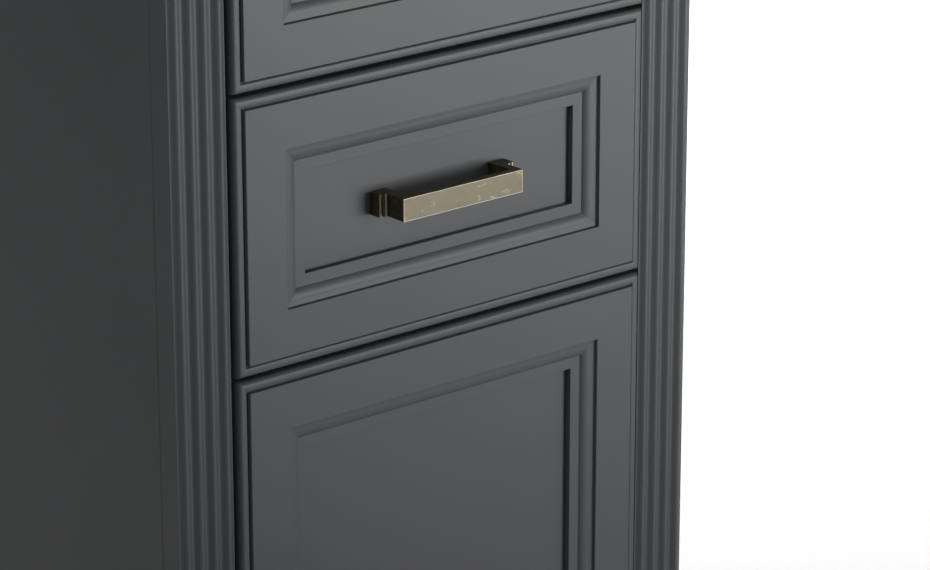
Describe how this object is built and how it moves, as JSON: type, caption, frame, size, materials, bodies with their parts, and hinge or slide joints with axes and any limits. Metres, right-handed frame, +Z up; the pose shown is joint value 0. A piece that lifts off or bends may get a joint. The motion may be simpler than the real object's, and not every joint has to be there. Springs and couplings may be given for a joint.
{
  "type": "pantry cabinet",
  "caption": "Tall narrow pantry cabinet: framed doors above and below a framed drawer, reeded pilasters at both sides, moulded top and square bridge handles.",
  "frame": {"origin": "on the floor, under the middle of the cabinet's bounding box", "axes": "+Z up, front towards -Y, +X to the right seen from the front"},
  "size_m": [0.6, 0.582, 2.1],
  "materials": {
    "graphite_lacquer": "matt",
    "graphite_board": "matt",
    "hardboard": "matt",
    "beech_ply": "satin",
    "aged_brass": "brushed",
    "zinc_steel": "satin",
    "nickel_steel": "polished",
    "black_plastic": "matt"
  },
  "bodies": {
    "carcass": {"pilaster_left": "graphite_lacquer", "pilaster_right": "graphite_lacquer", "side_panel_left": "graphite_lacquer", "side_panel_right": "graphite_lacquer", "bottom_panel": "graphite_board", "divider_lower": "graphite_board", "divider_upper": "graphite_board", "plinth": "graphite_lacquer", "back_panel": "hardboard", "top_board": "graphite_lacquer", "foot_front_left": "black_plastic", "foot_front_right": "black_plastic", "foot_back_left": "black_plastic", "foot_back_right": "black_plastic", "hinge_batten_lower": "graphite_board", "hinge_batten_upper": "graphite_board", "runner_packing_left": "graphite_board", "runner_packing_right": "graphite_board", "shelf_lower_1": "graphite_board", "shelf_upper_1": "graphite_board", "shelf_upper_2": "graphite_board", "shelf_upper_3": "graphite_board", "carcass_runner_left": "zinc_steel", "carcass_runner_right": "zinc_steel", "lower_door_hinge_1_arm": "nickel_steel", "lower_door_hinge_2_arm": "nickel_steel", "upper_door_hinge_1_arm": "nickel_steel", "upper_door_hinge_2_arm": "nickel_steel", "upper_door_hinge_3_arm": "nickel_steel"},
    "middle_runners": {"middle_runner_left": "zinc_steel", "middle_runner_right": "zinc_steel"},
    "drawer": {"drawer_stile_left": "graphite_lacquer", "drawer_stile_right": "graphite_lacquer", "drawer_rail_bottom": "graphite_lacquer", "drawer_rail_top": "graphite_lacquer", "drawer_panel": "graphite_lacquer", "drawer_handle": "aged_brass", "drawer_side_left": "beech_ply", "drawer_side_right": "beech_ply", "drawer_back": "beech_ply", "drawer_bottom": "beech_ply", "drawer_runner_left": "zinc_steel", "drawer_runner_right": "zinc_steel"},
    "lower_door": {"lower_door_stile_left": "graphite_lacquer", "lower_door_stile_right": "graphite_lacquer", "lower_door_rail_bottom": "graphite_lacquer", "lower_door_rail_top": "graphite_lacquer", "lower_door_panel": "graphite_lacquer", "lower_door_handle": "aged_brass", "lower_door_hinge_1_cup": "nickel_steel", "lower_door_hinge_2_cup": "nickel_steel"},
    "upper_door": {"upper_door_stile_left": "graphite_lacquer", "upper_door_stile_right": "graphite_lacquer", "upper_door_rail_bottom": "graphite_lacquer", "upper_door_rail_top": "graphite_lacquer", "upper_door_panel": "graphite_lacquer", "upper_door_handle": "aged_brass", "upper_door_hinge_1_cup": "nickel_steel", "upper_door_hinge_2_cup": "nickel_steel", "upper_door_hinge_3_cup": "nickel_steel"}
  },
  "joints": [
    {"name": "lower_door_hinge", "type": "hinge", "parent": "carcass", "child": "lower_door", "pos_m": [0.2185, -0.25665, 0.103], "axis": [0, 0, 1], "range_deg": [0, 110]},
    {"name": "upper_door_hinge", "type": "hinge", "parent": "carcass", "child": "upper_door", "pos_m": [0.2185, -0.25665, 0.839], "axis": [0, 0, 1], "range_deg": [0, 110]},
    {"name": "drawer_slide", "type": "slide", "parent": "carcass", "child": "drawer", "axis": [0, -1, 0], "range_m": [0, 0.45]},
    {"name": "middle_runner_slide", "type": "slide", "parent": "carcass", "child": "middle_runners", "axis": [0, -1, 0], "range_m": [0, 0.225]}
  ],
  "couplings": [
    {"joint": "middle_runner_slide", "follows": "drawer_slide", "ratio": 0.5}
  ]
}
